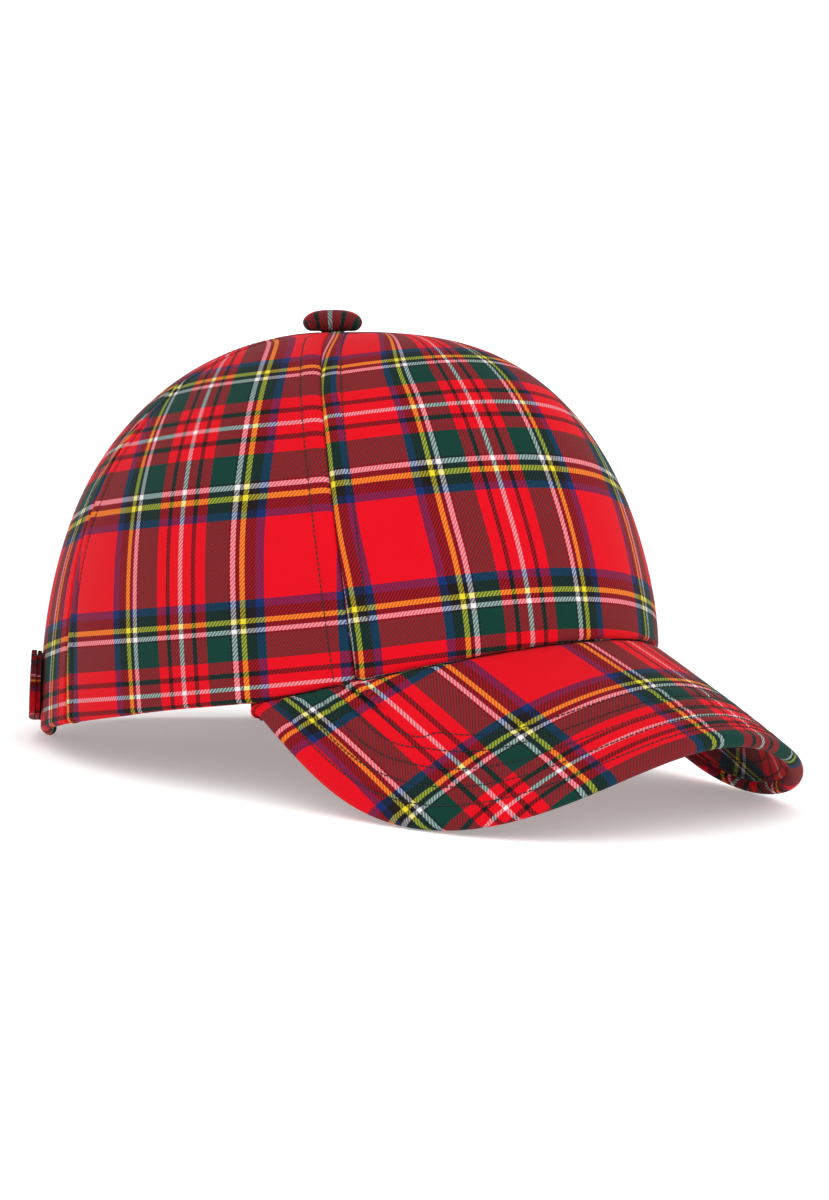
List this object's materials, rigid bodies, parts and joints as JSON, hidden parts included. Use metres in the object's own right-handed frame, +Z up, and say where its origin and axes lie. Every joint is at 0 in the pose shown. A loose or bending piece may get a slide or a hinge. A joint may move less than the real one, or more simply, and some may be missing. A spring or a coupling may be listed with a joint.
{
  "type": "tartan baseball cap",
  "caption": "Soft cloth cap with a rounded panelled crown, a covered button, a long curved visor and a closure strap across the back opening.",
  "frame": {"origin": "on the table under the middle of the cap's bounding box, as the cap stands on its visor's sides and the back of its rim", "axes": "+Z up, the visor points to -Y, the wearer's right is -X"},
  "size_m": [0.16, 0.2622, 0.1351],
  "materials": {
    "tartan_cloth": "brushed twill, red tartan",
    "button_cloth": "brushed twill, red tartan",
    "visor_cloth": "brushed twill, red tartan",
    "strap_cloth": "brushed twill, red tartan"
  },
  "bodies": {
    "root": {"front_panel": "tartan_cloth", "right_side_panel": "tartan_cloth", "left_side_panel": "tartan_cloth", "right_back_panel": "tartan_cloth", "left_back_panel": "tartan_cloth", "button": "button_cloth", "visor_top": "visor_cloth", "visor_under": "visor_cloth", "closure_strap": "strap_cloth", "strap_backing": "strap_cloth"}
  },
  "joints": []
}
